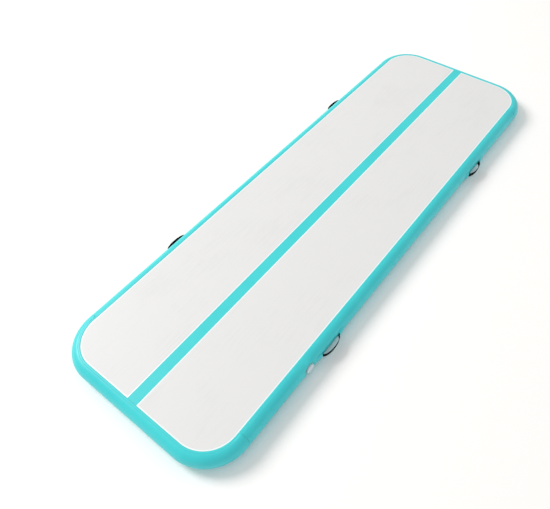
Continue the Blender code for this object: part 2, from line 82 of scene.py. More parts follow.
CAMERA_PLACE = (1.078, -1.661, 2.153)
CAMERA_AZIMUTH = math.radians(39.34)
CAMERA_ELEVATION = math.radians(54.04)
CAMERA_ROLL = math.radians(-2.13)
FLOOR_HALF_SIZE = 30
FLOOR_DROP = 0.0004       # keeps the floor clear of the puckered underside
LAMP_PLACE = (-9.6, -2.6, 8.6)
LAMP_SIZE = 5.6
LAMP_POWER = 1190
lens = bpy.data.cameras.new("studio_camera")
lens.lens = 33.39
lens.sensor_width = 36.0
lens.shift_x = -0.0384
lens.shift_y = 0.0265
camera = bpy.data.objects.new("studio_camera", lens)
turn = Matrix.Rotation(CAMERA_AZIMUTH, 4, "Z")
turn = turn @ Matrix.Rotation(math.pi / 2 - CAMERA_ELEVATION, 4, "X")
turn = turn @ Matrix.Rotation(CAMERA_ROLL, 4, "Z")
camera.matrix_world = Matrix.Translation(CAMERA_PLACE) @ turn
bpy.context.scene.collection.objects.link(camera)
bpy.context.scene.camera = camera
bpy.context.scene.view_settings.view_transform = "Standard"


def finished_piece(name, bm, body=None, replaced=(), smooth=True):
    """Turns a bmesh into a piece of the mat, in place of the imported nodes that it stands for."""
    mesh = bpy.data.meshes.new(name)
    bm.to_mesh(mesh)
    bm.free()
    for face in mesh.polygons:
        face.use_smooth = smooth
    piece = bpy.data.objects.new(name, mesh)
    bpy.context.scene.collection.objects.link(piece)
    if body:
        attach(piece, body)
    if replaced:
        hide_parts(*replaced)
    return piece


bm = bmesh.new()
bmesh.ops.create_grid(bm, x_segments=1, y_segments=1, size=FLOOR_HALF_SIZE)
bmesh.ops.translate(bm, verts=bm.verts, vec=(0, 0, -FLOOR_DROP))
floor = finished_piece("studio_floor", bm)
paper = bpy.data.materials.new("white_studio_floor")
paper.use_nodes = True
paper_shader = paper.node_tree.nodes["Principled BSDF"]
paper_shader.inputs["Base Color"].default_value = (0.99, 0.965, 0.96, 1)
paper_shader.inputs["Roughness"].default_value = 0.9
paper_shader.inputs["Specular IOR Level"].default_value = 0.1
floor.data.materials.append(paper)

studio_walls = bpy.data.worlds.new("white_studio_walls")
studio_walls.use_nodes = True
tree = studio_walls.node_tree
backdrop = tree.nodes["Background"]
backdrop.inputs["Strength"].default_value = 0.71
direction = tree.nodes.new("ShaderNodeTexCoord")
sides = tree.nodes.new("ShaderNodeSeparateXYZ")
warmth = tree.nodes.new("ShaderNodeValToRGB")
warmth.color_ramp.elements[0].position = 0.0
warmth.color_ramp.elements[1].position = 0.55
warmth.color_ramp.elements[0].color = (0.92, 0.97, 1.0, 1)
warmth.color_ramp.elements[1].color = (1.0, 0.90, 0.74, 1)
leftward = tree.nodes.new("ShaderNodeMath")
leftward.operation = "MULTIPLY"
leftward.inputs[1].default_value = -1.0
tree.links.new(direction.outputs["Generated"], sides.inputs["Vector"])
tree.links.new(sides.outputs["X"], leftward.inputs[0])
tree.links.new(leftward.outputs["Value"], warmth.inputs["Fac"])
tree.links.new(warmth.outputs["Color"], backdrop.inputs["Color"])
bpy.context.scene.world = studio_walls

lamp_data = bpy.data.lights.new("broad_lamp", "AREA")
lamp_data.shape = "DISK"
lamp_data.size = LAMP_SIZE
lamp_data.energy = LAMP_POWER
lamp_data.color = (0.975, 0.985, 1.0)
lamp = bpy.data.objects.new("broad_lamp", lamp_data)
lamp.location = LAMP_PLACE
lamp.rotation_euler = (-lamp.location).to_track_quat("-Z", "Y").to_euler()
bpy.context.scene.collection.objects.link(lamp)


# Materials shared by the first pieces -----------------------------------------------------------
# Everything soft is coated cloth: a woven polyester under a smooth vinyl skin, so the weave only
# shows as a fine grain in the gloss. Each colour is slightly uneven, as a big printed sheet is.


def new_finish(name, colour, roughness):
    """A principled finish, with its node tree and shader ready for a pattern."""
    finish = bpy.data.materials.new(name)
    finish.use_nodes = True
    shader = finish.node_tree.nodes["Principled BSDF"]
    shader.inputs["Base Color"].default_value = (*colour, 1)
    shader.inputs["Roughness"].default_value = roughness
    return finish, finish.node_tree, shader


def noise_pattern(tree, scale, detail, roughness=0.5, stretch=(1, 1, 1)):
    """Noise on Object coordinates; its Factor output drives a colour, roughness or bump."""
    place = tree.nodes.new("ShaderNodeTexCoord")
    mapping = tree.nodes.new("ShaderNodeMapping")
    mapping.inputs["Scale"].default_value = stretch
    pattern = tree.nodes.new("ShaderNodeTexNoise")
    pattern.inputs["Scale"].default_value = scale
    pattern.inputs["Detail"].default_value = detail
    pattern.inputs["Roughness"].default_value = roughness
    tree.links.new(place.outputs["Object"], mapping.inputs["Vector"])
    tree.links.new(mapping.outputs["Vector"], pattern.inputs["Vector"])
    return pattern.outputs["Fac"]


def thread_pattern(tree, pitch, axis, source=None):
    """Parallel threads a pitch apart, across one axis."""
    if source is None:
        place = tree.nodes.new("ShaderNodeTexCoord")
        source = place.outputs["Object"]
    threads = tree.nodes.new("ShaderNodeTexWave")
    threads.wave_type = "BANDS"
    threads.bands_direction = axis
    threads.wave_profile = "SIN"
    threads.inputs["Scale"].default_value = math.pi / (10 * pitch)
    threads.inputs["Distortion"].default_value = 0.0
    tree.links.new(source, threads.inputs["Vector"])
    return threads.outputs["Fac"]


def join_patterns(tree, first, second, operation):
    both = tree.nodes.new("ShaderNodeMath")
    both.operation = operation
    tree.links.new(first, both.inputs[0])
    tree.links.new(second, both.inputs[1])
    return both.outputs["Value"]


def ramp(tree, factor, low, high, low_at=0.3, high_at=0.7):
    """Two colours, or two grey levels, across a pattern."""
    blend = tree.nodes.new("ShaderNodeValToRGB")
    blend.color_ramp.elements[0].position = low_at
    blend.color_ramp.elements[1].position = high_at
    blend.color_ramp.elements[0].color = (*low, 1)
    blend.color_ramp.elements[1].color = (*high, 1)
    tree.links.new(factor, blend.inputs["Fac"])
    return blend.outputs["Color"]


def add_bump(tree, shader, height, strength, distance, under=None):
    bump = tree.nodes.new("ShaderNodeBump")
    bump.inputs["Strength"].default_value = strength
    bump.inputs["Distance"].default_value = distance
    tree.links.new(height, bump.inputs["Height"])
    if under:
        tree.links.new(under, bump.inputs["Normal"])
    tree.links.new(bump.outputs["Normal"], shader.inputs["Normal"])
    return bump.outputs["Normal"]


def coated_cloth(name, colour, shade, roughness, grain, pitch=0.0011, relief=0.00006):
    """Vinyl over woven cloth: uneven colour, a fine woven grain, and slow waves in the gloss."""
    finish, tree, shader = new_finish(name, colour, roughness)
    cloudy = noise_pattern(tree, 6.0, 4.0)
    tinted = ramp(tree, cloudy, shade, colour)
    tree.links.new(tinted, shader.inputs["Base Color"])
    worn = noise_pattern(tree, 40.0, 3.0)
    tree.links.new(
        ramp(tree, worn, (roughness - 0.05,) * 3, (roughness + 0.06,) * 3),
        shader.inputs["Roughness"],
    )
    weave = join_patterns(
        tree, thread_pattern(tree, pitch, "X"), thread_pattern(tree, pitch, "Y"), "MULTIPLY"
    )
    fine = noise_pattern(tree, 900.0, 2.0)
    slow = add_bump(tree, shader, noise_pattern(tree, 14.0, 2.0), 0.15, 0.002)
    woven = add_bump(tree, shader, weave, grain, relief, slow)
    add_bump(tree, shader, fine, grain, relief, woven)
    return finish


TURQUOISE = (0.048, 0.640, 0.665)
DEEP_TURQUOISE = (0.036, 0.600, 0.640)
turquoise_vinyl = coated_cloth(
    "turquoise_vinyl", TURQUOISE, (0.040, 0.610, 0.640), 0.42, 0.35
)

# Drop-stitch core, its cloths and the inner walls -----------------------------------------------
# Two off-white polyester cloths are held parallel by tens of thousands of pile threads, and an
# airtight inner wall is welded round them. None of it shows on a mat that is blown up.

off_white_cloth = coated_cloth(
    "off_white_polyester", (0.80, 0.80, 0.76), (0.74, 0.74, 0.70), 0.8, 0.6, 0.0009, 0.0001
)
pile_threads, tree, shader = new_finish("pile_threads", (0.82, 0.82, 0.79), 0.9)
pile = join_patterns(
    tree, thread_pattern(tree, 0.004, "X"), thread_pattern(tree, 0.004, "Y"), "MULTIPLY"
)
tree.links.new(
    ramp(tree, pile, (0.55, 0.55, 0.53), (0.86, 0.86, 0.83)), shader.inputs["Base Color"]
)
add_bump(tree, shader, pile, 1.0, 0.001)


def refinish(node, finish):
    """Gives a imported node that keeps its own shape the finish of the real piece."""
    data = bpy.data.objects[node].data
    data.materials.clear()
    data.materials.append(finish)


refinish("drop_stitch_core", pile_threads)
for node in ("top_cloth", "bottom_cloth", "left_inner_wall", "right_inner_wall"):
    refinish(node, off_white_cloth)
refinish("inner_valve_patch", off_white_cloth)

# Top cover: two grey panels and the centre stripe -----------------------------------------------
# Light grey coated cloth in two long panels, each with a welded edge painted pale as a highlight
# line, lies on the drop-stitch field either side of a turquoise stripe. All three are cut flat,
# and the air holds them stretched.

FLAT_EDGE = 0.0045        # a panel ends this far inside the line where the wall starts
# Width of each panel's welded edge, whose pale colour is a painted highlight line.
WELD_HIGHLIGHT_WIDTH = 0.0052
COVER_THICKNESS = 0.0006
CLEARANCE = 0.0003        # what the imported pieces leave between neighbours
FLAT_CORNER = 0.165       # plan radius of the flat top's corners
flat_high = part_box("top_cloth")[1]
top_face = cad_high.z
stripe_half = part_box("centre_stripe")[1].x


def rounded_sheet(low, high, rounded, radius, steps=24):
    """A flat sheet with the corners that rounded picks turned off, ready to be given thickness."""
    bm = bmesh.new()
    bmesh.ops.create_grid(bm, x_segments=1, y_segments=1, size=0.5)
    middle = ((low[0] + high[0]) / 2, (low[1] + high[1]) / 2, 0)
    bmesh.ops.scale(bm, verts=bm.verts, vec=(high[0] - low[0], high[1] - low[1], 1))
    bmesh.ops.translate(bm, verts=bm.verts, vec=middle)
    corners = [vert for vert in bm.verts if rounded(vert.co)]
    bmesh.ops.bevel(
        bm, geom=corners, offset=radius, offset_type="OFFSET", segments=steps, profile=0.5,
        affect="VERTICES", material=-1,
    )
    return bm


grey_vinyl, tree, shader = new_finish("light_grey_vinyl", (0.735, 0.735, 0.735), 0.55)
cloudy = noise_pattern(tree, 5.0, 4.0)
streaks = noise_pattern(tree, 110.0, 3.0, 0.6, (1.0, 0.05, 1.0))
mixed = join_patterns(tree, cloudy, streaks, "ADD")
tree.links.new(
    ramp(tree, mixed, (0.726, 0.719, 0.726), (0.750, 0.743, 0.750), 0.75, 1.25),
    shader.inputs["Base Color"],
)
weave = join_patterns(
    tree, thread_pattern(tree, 0.0016, "X"), thread_pattern(tree, 0.0016, "Y"), "MULTIPLY"
)
slow = add_bump(tree, shader, noise_pattern(tree, 9.0, 2.0), 0.2, 0.003)
woven = add_bump(tree, shader, weave, 0.5, 0.00012, slow)
add_bump(tree, shader, noise_pattern(tree, 1200.0, 2.0), 0.5, 0.00008, woven)
# The welded edge is real, but its pale cyan-white colour is a painted highlight: a bright line
# along the seam, not the cloth's own colour.
weld_painted_highlight, tree, shader = new_finish("welded_edge_painted_highlight", (0.86, 0.93, 0.93), 0.4)
tree.links.new(
    ramp(tree, noise_pattern(tree, 30.0, 3.0), (0.80, 0.90, 0.90), (0.90, 0.95, 0.95)),
    shader.inputs["Base Color"],
)
add_bump(tree, shader, thread_pattern(tree, 0.0012, "DIAGONAL"), 0.4, 0.0001)

far_x = flat_high.x + CLEARANCE - FLAT_EDGE
far_y = flat_high.y + CLEARANCE - FLAT_EDGE
near_x = stripe_half + CLEARANCE
for side, node in ((1, "right_top_panel"), (-1, "left_top_panel")):
    left_x, right_x = sorted((side * near_x, side * far_x))
    low, high = (left_x, -far_y), (right_x, far_y)
    bm = rounded_sheet(low, high, lambda co: abs(co.x) > 0.2, FLAT_CORNER - FLAT_EDGE)
    bmesh.ops.translate(bm, verts=bm.verts, vec=(0, 0, top_face))
    bmesh.ops.recalc_face_normals(bm, faces=bm.faces)
    field = bm.faces[:]
    rim = bmesh.ops.inset_region(
        bm, faces=field, thickness=WELD_HIGHLIGHT_WIDTH, depth=0.0, use_boundary=True, use_even_offset=True
    )["faces"]
    # The rim faces take the welded edge's painted highlight colour.
    for face in rim:
        face.material_index = 1
    if field[0].normal.z < 0:
        bmesh.ops.reverse_faces(bm, faces=bm.faces)
    panel = finished_piece(node + "_sheet", bm, "mat", [node], smooth=False)
    panel.data.materials.append(grey_vinyl)
    panel.data.materials.append(weld_painted_highlight)
    thickness = panel.modifiers.new("thickness", "SOLIDIFY")
    thickness.thickness = COVER_THICKNESS
    thickness.offset = -1
    width, length = high[0] - low[0], high[1] - low[1]

bm = rounded_sheet((-stripe_half, -far_y), (stripe_half, far_y), lambda co: False, 0)
bmesh.ops.translate(bm, verts=bm.verts, vec=(0, 0, top_face))
bmesh.ops.recalc_face_normals(bm, faces=bm.faces)
stripe = finished_piece(
    "centre_stripe_sheet", bm, "mat", ["centre_stripe"], False
)
stripe.data.materials.append(turquoise_vinyl)
thickness = stripe.modifiers.new("thickness", "SOLIDIFY")
thickness.thickness = COVER_THICKNESS
thickness.offset = -1

# Bottom cover -----------------------------------------------------------------------------------
# One sheet of darker grey coated cloth with a raised non-slip grain, the full width of the flat
# underside. The air holds it stretched as it does the top.

non_slip, tree, shader = new_finish("non_slip_grey_vinyl", (0.33, 0.35, 0.36), 0.7)
studs = join_patterns(
    tree, thread_pattern(tree, 0.005, "X"), thread_pattern(tree, 0.005, "Y"), "MULTIPLY"
)
tree.links.new(
    ramp(tree, studs, (0.28, 0.30, 0.31), (0.37, 0.39, 0.40)), shader.inputs["Base Color"]
)
studded = add_bump(tree, shader, studs, 0.8, 0.0006)
add_bump(tree, shader, noise_pattern(tree, 700.0, 2.0), 0.4, 0.0001, studded)

bm = rounded_sheet((-far_x, -far_y), (far_x, far_y), lambda co: True, FLAT_CORNER - FLAT_EDGE)
bmesh.ops.recalc_face_normals(bm, faces=bm.faces)
if bm.faces[:][0].normal.z > 0:
    bmesh.ops.reverse_faces(bm, faces=bm.faces)
base = finished_piece("bottom_cover_sheet", bm, "mat", ["bottom_cover"], False)
base.data.materials.append(non_slip)
thickness = base.modifiers.new("thickness", "SOLIDIFY")
thickness.thickness = COVER_THICKNESS
thickness.offset = -1

# Side walls -------------------------------------------------------------------------------------
# A strip of turquoise coated cloth, 150 mm wide before it is blown up, is welded round the edge in
# four lengths. Air swells it to a half circle; it is tight on the sides and puckers at the corners.

MIDDLE = (cad_low.z + cad_high.z) / 2
BULGE = (cad_high.z - cad_low.z) / 2
WALL_THICKNESS = 0.0007
wall_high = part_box("right_side_wall")[1]
side_end = wall_high.y + CLEARANCE
flat_x = wall_high.x - BULGE
WALL_STEP = 0.012
START_BULGE = BULGE - 0.0007
SWELL_FRAMES = 20
SWELL_CAP = 0.0009        # the furthest that the air moves any point of the wall
EDGE_ANGLE = 85.0         # the tapes cover the wall's edges from this angle on
LAP = 0.020               # an end wall covers this much of the side walls that it is welded to
LAP_RISE = 0.060          # and comes up over them from this far away
LAP_LIFT = 0.0005
valve_axis = Vector((0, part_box("valve_cap")[0].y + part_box("valve_cap")[1].y, 0)) / 2
valve_axis.z = MIDDLE
valve_axis.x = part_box("valve_gasket")[0].x - CLEARANCE
SEAT_RADIUS = 0.027       # the valve's patch is flat inside this radius
PATCH_RADIUS = 0.044      # and back on the wall's own curve at this one
FLANGE_COVERS = 0.019     # the wall has a hole of this radius, which the valve's flange hides


def eased(value, first, last):
    """Goes smoothly from 0 at first to 1 at last."""
    share = min(max((value - first) / (last - first), 0), 1)
    return share * share * (3 - 2 * share)


def arc_points(radius, first, last, steps):
    """Points of an arc round the middle of the bulge, both ends included, angles in degrees."""
    turns = [math.radians(first + (last - first) * i / steps) for i in range(steps + 1)]
    return [(radius * math.cos(angle), radius * math.sin(angle)) for angle in turns]


def carried_round(profile, step, corner_steps):
    """Carries a profile once round the edge of the flat top, in steps short enough to swell.

    The profile's points are (distance out of the flat top's edge, height over the mat's middle).
    Each point keeps how far along the edge it is, and how far down the profile, as its wall_place.
    """
    bm = bmesh.new()
    layer = bm.verts.layers.float_vector.new("wall_place")
    half_side, half_end = side_end, flat_x - FLAT_CORNER
    down, place = [0.0], Vector((flat_x, -half_side, MIDDLE))
    for first, second in zip(profile, profile[1:]):
        down.append(down[-1] + math.dist(first, second))
    verts = [bm.verts.new(place + Vector((out, 0, up))) for out, up in profile]
    edges = [bm.edges.new(pair) for pair in zip(verts, verts[1:])]
    travelled = 0.0
    for vert, depth in zip(verts, down):
        vert[layer] = Vector((0, depth, 0))
    heading = Vector((0, 1, 0))
    quarter = Matrix.Rotation(math.pi / 2 / corner_steps, 3, "Z")
    for run in (2 * half_side, 2 * half_end) * 2:
        count = max(round(run / step), 1)
        for stage in range(count + corner_steps):
            made = bmesh.ops.extrude_edge_only(bm, edges=edges)["geom"]
            verts = [item for item in made if isinstance(item, bmesh.types.BMVert)]
            ahead = set(verts)
            edges = [
                item for item in made
                if isinstance(item, bmesh.types.BMEdge) and ahead.issuperset(item.verts)
            ]
            if stage < count:
                bmesh.ops.translate(bm, verts=verts, vec=heading * run / count)
                place = place + heading * run / count
                travelled += run / count
            else:
                centre = place - Vector((heading.y, -heading.x, 0)) * FLAT_CORNER
                bmesh.ops.rotate(bm, verts=verts, cent=centre, matrix=quarter)
                place = centre + quarter @ (place - centre)
                heading = quarter @ heading
                travelled += (FLAT_CORNER + BULGE) * math.pi / 2 / corner_steps
            for vert in verts:
                vert[layer].x = travelled
    bmesh.ops.remove_doubles(bm, verts=bm.verts, dist=0.00002)
    bmesh.ops.recalc_face_normals(bm, faces=bm.faces)
    first = max(bm.faces, key=lambda face: face.calc_center_median().x)
    if first.normal.x < 0:
        bmesh.ops.reverse_faces(bm, faces=bm.faces)
    return bm


def seat_height(radius, up):
    """How far the wall stands out of the valve's flat place, a radius away and so far up."""
    wall_x = flat_x + math.sqrt(max(BULGE ** 2 - up ** 2, 0))
    return eased(radius, SEAT_RADIUS, PATCH_RADIUS) * (wall_x - valve_axis.x)


def swollen(bm):
    """Blows a wall up with Blender's cloth, held along both its edges, but never far."""
    mesh = bpy.data.meshes.new("wall_to_swell")
    bm.to_mesh(mesh)
    wall = bpy.data.objects.new("wall_to_swell", mesh)
    bpy.context.scene.collection.objects.link(wall)
    rims = wall.vertex_groups.new(name="welded_edges")
    rims.add([vert.index for vert in bm.verts if vert.is_boundary], 1.0, "REPLACE")
    cloth = wall.modifiers.new("air", "CLOTH")
    cloth.settings.quality = 6
    cloth.settings.mass = 0.2
    cloth.settings.tension_stiffness = 12
    cloth.settings.compression_stiffness = 12
    cloth.settings.shear_stiffness = 4
    cloth.settings.bending_stiffness = 0.3
    cloth.settings.use_pressure = True
    cloth.settings.uniform_pressure_force = 4
    cloth.settings.effector_weights.gravity = 0
    cloth.settings.vertex_group_mass = "welded_edges"
    cloth.point_cache.frame_start = 1
    cloth.point_cache.frame_end = SWELL_FRAMES
    for frame_number in range(1, SWELL_FRAMES + 1):
        bpy.context.scene.frame_set(frame_number)
    depsgraph = bpy.context.evaluated_depsgraph_get()
    blown = wall.evaluated_get(depsgraph).to_mesh()
    bm.verts.ensure_lookup_table()
    for vert, moved in zip(bm.verts, blown.vertices):
        step = moved.co - vert.co
        if step.length > SWELL_CAP:
            step = step.normalized() * SWELL_CAP
        vert.co += step
    wall.evaluated_get(depsgraph).to_mesh_clear()
    bpy.data.objects.remove(wall)
    bpy.context.scene.frame_set(1)


wall_profile = arc_points(START_BULGE, EDGE_ANGLE, -EDGE_ANGLE, 26)
wall_profile[0] = arc_points(BULGE, EDGE_ANGLE, EDGE_ANGLE, 1)[0]
wall_profile[-1] = arc_points(BULGE, -EDGE_ANGLE, -EDGE_ANGLE, 1)[0]
whole_wall = carried_round(wall_profile, WALL_STEP, 28)
swollen(whole_wall)
layer = whole_wall.verts.layers.float_vector["wall_place"]
whole_wall.normal_update()
pucker_steps = []
for vert in whole_wall.verts:
    beyond = min(max((abs(vert.co.y) - side_end + 0.03) / 0.08, 0), 1)
    beside = min(max((abs(vert.co.x) - flat_x + FLAT_CORNER + 0.03) / 0.08, 0), 1)
    angle = abs(math.degrees(math.asin(max(-1, min(1, (vert.co.z - MIDDLE) / BULGE)))))
    near_weld = max(0.0, 1 - abs(angle - 66) / 22)
    along = vert[layer].x
    crease = 0.5 + 0.5 * math.sin(along * 380 + 3.0 * noise.noise(vert.co * 9))
    slack = 0.5 + noise.noise(Vector((along * 7, angle / 40, 3)))
    pucker_steps.append(0.0008 * beyond * beside * near_weld * crease * slack + 0.00025 * slack)
for vert, pucker in zip(whole_wall.verts, pucker_steps):
    vert.co += vert.normal * max(pucker, 0) * (0 if vert.is_boundary else 1)

wall_by_valve = valve_axis + Vector((0.01, 0, 0))
for reach in (0.095, 0.070):
    near_valve = [
        edge for edge in whole_wall.edges
        if all((vert.co - wall_by_valve).length < reach for vert in edge.verts)
    ]
    bmesh.ops.subdivide_edges(whole_wall, edges=near_valve, cuts=2, use_grid_fill=True)
for vert in whole_wall.verts:
    offset = vert.co - valve_axis
    radius = math.hypot(offset.y, offset.z)
    if offset.x > -0.03 and radius < PATCH_RADIUS + 0.020:
        seated = valve_axis.x + seat_height(radius, offset.z) - 0.0002
        own_share = eased(radius, PATCH_RADIUS + 0.003, PATCH_RADIUS + 0.020)
        vert.co.x = seated + own_share * (vert.co.x - seated)
under_flange = [
    face for face in whole_wall.faces
    if face.calc_center_median().x > valve_axis.x - 0.01
    and math.hypot(*(face.calc_center_median() - valve_axis).yz) < FLANGE_COVERS
]
bmesh.ops.delete(whole_wall, geom=under_flange, context="FACES")


def wall_length(name, node, keep_low, keep_high, sign, lift):
    """Cuts one length out of the whole wall. A lifted one is welded over its neighbours' ends."""
    bm = whole_wall.copy()
    for height, normal in ((keep_low, -1), (keep_high, 1)):
        if height is None:
            continue
        bmesh.ops.bisect_plane(
            bm, geom=bm.verts[:] + bm.edges[:] + bm.faces[:], plane_co=(0, height, 0),
            plane_no=(0, normal, 0), clear_outer=True,
        )
    if sign:
        gone = [face for face in bm.faces if face.calc_center_median().x * sign < 0]
        bmesh.ops.delete(bm, geom=gone, context="FACES")
    bm.normal_update()
    if lift:
        for vert in bm.verts:
            lapped = min(max((side_end + LAP_RISE - abs(vert.co.y)) / LAP_RISE, 0), 1)
            vert.co += vert.normal * LAP_LIFT * lapped
    wall = finished_piece(name, bm, "mat", [node])
    wall.data.materials.append(wall_vinyl)
    shell = wall.modifiers.new("thickness", "SOLIDIFY")
    shell.thickness = WALL_THICKNESS
    shell.offset = -1


def surface_place(tree, name):
    """Coordinates in metres that follow a piece's own surface."""
    place = tree.nodes.new("ShaderNodeAttribute")
    place.attribute_name = name
    return place.outputs["Vector"]


wall_vinyl, tree, shader = new_finish("wall_vinyl", TURQUOISE, 0.38)
tree.links.new(
    ramp(tree, noise_pattern(tree, 7.0, 4.0), DEEP_TURQUOISE, TURQUOISE),
    shader.inputs["Base Color"],
)
tree.links.new(
    ramp(tree, noise_pattern(tree, 35.0, 3.0), (0.34,) * 3, (0.46,) * 3),
    shader.inputs["Roughness"],
)
on_wall = surface_place(tree, "wall_place")
weave = join_patterns(
    tree, thread_pattern(tree, 0.0011, "X", on_wall), thread_pattern(tree, 0.0011, "Y", on_wall),
    "MULTIPLY",
)
slow = add_bump(tree, shader, noise_pattern(tree, 18.0, 2.0), 0.15, 0.002)
add_bump(tree, shader, weave, 0.3, 0.00006, slow)

wall_length("right_wall_strip", "right_side_wall", -side_end, side_end, 1, False)
wall_length("left_wall_strip", "left_side_wall", -side_end, side_end, -1, False)
wall_length("near_wall_strip", "near_end_wall", None, -side_end + LAP, 0, True)
wall_length("far_wall_strip", "far_end_wall", side_end - LAP, None, 0, True)
whole_wall.free()

# Seam tapes -------------------------------------------------------------------------------------
# A narrow turquoise tape is welded over the line where the top cover meets the wall, and another
# one underneath. Each covers the cover's cut edge and the first few millimetres of the wall.

welded_vinyl, tree, shader = new_finish("welded_turquoise_vinyl", TURQUOISE, 0.40)
tree.links.new(
    ramp(tree, noise_pattern(tree, 7.0, 4.0), DEEP_TURQUOISE, TURQUOISE),
    shader.inputs["Base Color"],
)
tree.links.new(
    ramp(tree, noise_pattern(tree, 50.0, 3.0), (0.36,) * 3, (0.46,) * 3),
    shader.inputs["Roughness"],
)
add_bump(tree, shader, thread_pattern(tree, 0.0010, "DIAGONAL"), 0.2, 0.00005)

tape_profile = [(CLEARANCE - FLAT_EDGE, BULGE - 0.0001), (-0.002, BULGE + 0.0002)]
tape_profile += arc_points(BULGE + 0.0003, 90, 84, 3) + arc_points(BULGE, 83, 83, 1)[:1]
for node, sign in (("top_seam_tape", 1), ("bottom_seam_tape", -1)):
    bm = carried_round([(out, sign * up) for out, up in tape_profile], 0.05, 28)
    tape = finished_piece(node + "_strip", bm, "mat", [node])
    tape.data.materials.append(welded_vinyl)
    thickness = tape.modifiers.new("thickness", "SOLIDIFY")
    thickness.thickness = 0.0005
    thickness.offset = -1

# Handle patches ---------------------------------------------------------------------------------
# Eight small rounded patches of the wall's cloth, two to a handle. Each is welded to the wall over
# one end of the webbing, and stands up over it like a pocket with its mouth towards the loop.

WEBBING = 0.0022
WEBBING_HALF = 0.0125
TAB_END = 0.0905          # the webbing reaches this far from the loop's middle, under its patch
PATCH_START = 0.0675
PATCH_END = 0.1005
PATCH_HALF = 0.0236
PATCH_ROWS = 22
PATCH_COLUMNS = 36
AXIS_RADIUS = BULGE + CLEARANCE + WEBBING / 2
handles = []
for place in ("near_right", "far_right", "near_left", "far_left"):
    joint = next(item for item in frame["joints"] if item["child"] == place + "_loop")
    middle = Vector(joint["pos_m"])
    tilt = Matrix.Rotation(math.asin((MIDDLE - middle.z) / AXIS_RADIUS), 4, "Y")
    turn = Matrix.Rotation(0 if middle.x > 0 else math.pi, 4, "Z")
    handles.append((place, middle, Matrix.Translation(middle) @ turn @ tilt))


def handle_patch(name, matrix, sign):
    """One patch, raised over the webbing's end and its edges and flat on the wall beyond them."""
    bm = rounded_sheet(
        (PATCH_START, -PATCH_HALF), (PATCH_END, PATCH_HALF), lambda co: co.x > PATCH_START + 0.01,
        0.007, 8,
    )
    cuts = []
    for i in range(1, PATCH_ROWS):
        row = PATCH_START + (PATCH_END - PATCH_START) * i / PATCH_ROWS
        cuts.append(((row, 0, 0), (1, 0, 0)))
    for i in range(1, PATCH_COLUMNS):
        column = -PATCH_HALF + 2 * PATCH_HALF * i / PATCH_COLUMNS
        cuts.append(((0, column, 0), (0, 1, 0)))
    for point, normal in cuts:
        bmesh.ops.bisect_plane(
            bm, geom=bm.verts[:] + bm.edges[:] + bm.faces[:], plane_co=point, plane_no=normal
        )
    for vert in bm.verts:
        along, angle = vert.co.x, vert.co.y / BULGE
        beside = 1 - eased(abs(vert.co.y), WEBBING_HALF + 0.0008, WEBBING_HALF + 0.0052)
        past = 1 - eased(along, TAB_END + 0.0008, TAB_END + 0.0056)
        radius = BULGE + 0.0007 + (WEBBING + 0.0009) * beside * past
        vert.co = (
            radius * math.cos(angle) - AXIS_RADIUS, sign * along, radius * math.sin(angle),
        )
    bmesh.ops.recalc_face_normals(bm, faces=bm.faces)
    if sum(face.normal.x for face in bm.faces) < 0:
        bmesh.ops.reverse_faces(bm, faces=bm.faces)
    bm.transform(matrix)
    patch = finished_piece(name + "_sheet", bm, "mat", [name])
    patch.data.materials.append(welded_vinyl)
    thickness = patch.modifiers.new("thickness", "SOLIDIFY")
    thickness.thickness = 0.0008
    thickness.offset = -1
    rounded_edge = patch.modifiers.new("rounded_edge", "BEVEL")
    rounded_edge.width = 0.0002
    rounded_edge.segments = 2


for place, middle, matrix in handles:
    for sign in (-1, 1):
        end = "far" if sign * middle.x > 0 else "near"
        handle_patch(place + "_handle_" + end + "_patch", matrix, sign)

# Carrying handles -------------------------------------------------------------------------------
# Each handle is one length of black woven webbing, 25 mm wide. It comes out from under one patch,
# stands off the wall in a low loop that fingers go through, and goes back under the other patch.

LEAVES_WALL = 0.0685      # the webbing lies on the wall beyond this distance from its middle
LOOP_START = 0.0078       # and is half an ellipse once it stands this far out
HALF_SPAN = 0.0620
REACH = 0.0200

black_webbing, tree, shader = new_finish("black_woven_webbing", (0.005, 0.005, 0.006), 0.9)
shader.inputs["Specular IOR Level"].default_value = 0.15
on_strap = surface_place(tree, "strap_place")
across_threads = thread_pattern(tree, 0.0013, "X", on_strap)
along_threads = thread_pattern(tree, 0.0024, "Y", on_strap)
woven = join_patterns(tree, across_threads, along_threads, "MULTIPLY")
tree.links.new(
    ramp(tree, woven, (0.002, 0.002, 0.002), (0.008, 0.008, 0.009), 0.1, 0.9),
    shader.inputs["Base Color"],
)
fibres = noise_pattern(tree, 2500.0, 2.0)
ridged = add_bump(tree, shader, woven, 0.9, 0.00025)
add_bump(tree, shader, fibres, 0.5, 0.00008, ridged)


def strap_points():
    """(out, along) points of the webbing's middle, from the end under one patch to the other."""
    first = math.asin(LOOP_START / REACH)
    join = Vector((LOOP_START, HALF_SPAN * math.cos(first), 0))
    heading = Vector((REACH * math.cos(first), -HALF_SPAN * math.sin(first), 0)).normalized()
    leaves, pull = Vector((0, LEAVES_WALL, 0)), Vector((0, LEAVES_WALL - 0.0040, 0))
    lift = interpolate_bezier(leaves, pull, join - heading * 0.0045, join, 10)
    half = [(0.0, TAB_END + (LEAVES_WALL - TAB_END) * i / 6) for i in range(6)]
    half += [(point.x, point.y) for point in lift]
    for i in range(1, 19):
        turn = first + (math.pi / 2 - first) * i / 18
        half.append((REACH * math.sin(turn), HALF_SPAN * math.cos(turn)))
    return half + [(out, -along) for out, along in reversed(half[:-1])]


